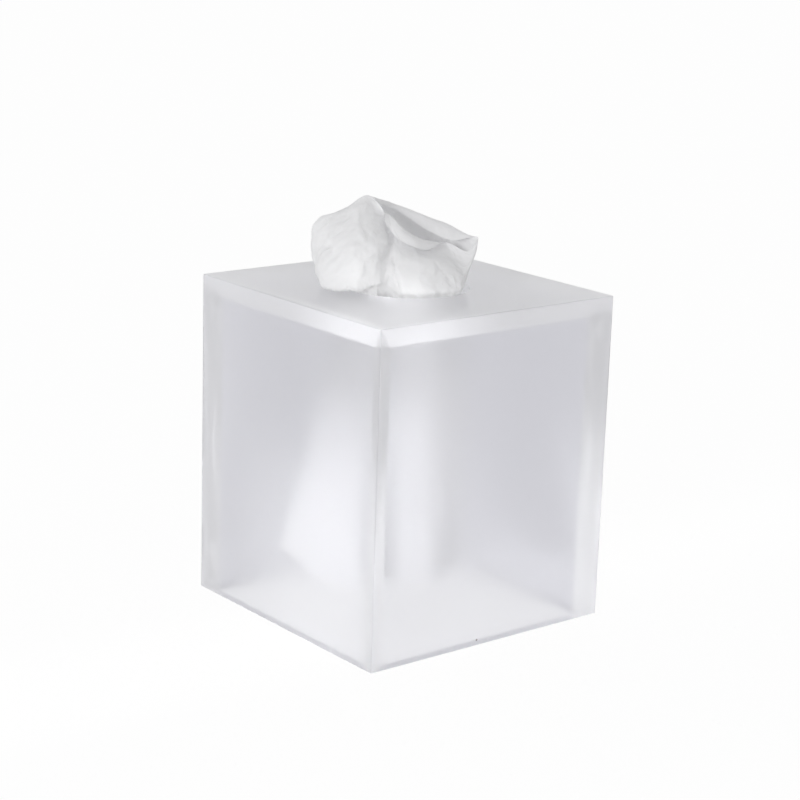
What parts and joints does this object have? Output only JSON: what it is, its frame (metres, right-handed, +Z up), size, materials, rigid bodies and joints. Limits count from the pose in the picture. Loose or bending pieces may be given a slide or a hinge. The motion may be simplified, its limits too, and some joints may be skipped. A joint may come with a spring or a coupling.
{
  "type": "tissue box cover",
  "caption": "Square frosted acrylic tissue box cover with open base, round hole in the top and a gathered tissue drawn through it.",
  "frame": {"origin": "centre of the rectangle that the cover stands on, at the surface it stands on", "axes": "+Z up along the axis of the round hole, +X towards the right panel, -Y towards the front panel"},
  "size_m": [0.133, 0.133, 0.193],
  "materials": {
    "frosted_acrylic": "cast acrylic sheet 10 mm thick, frosted all over to an even satin, bonded at mitred corners",
    "tissue_paper": "soft white two-ply facial tissue, matt, with fine crimps and creases"
  },
  "bodies": {
    "root": {"front_panel": "frosted_acrylic", "right_panel": "frosted_acrylic", "back_panel": "frosted_acrylic", "left_panel": "frosted_acrylic", "top_panel": "frosted_acrylic", "tissue": "tissue_paper"}
  },
  "joints": []
}
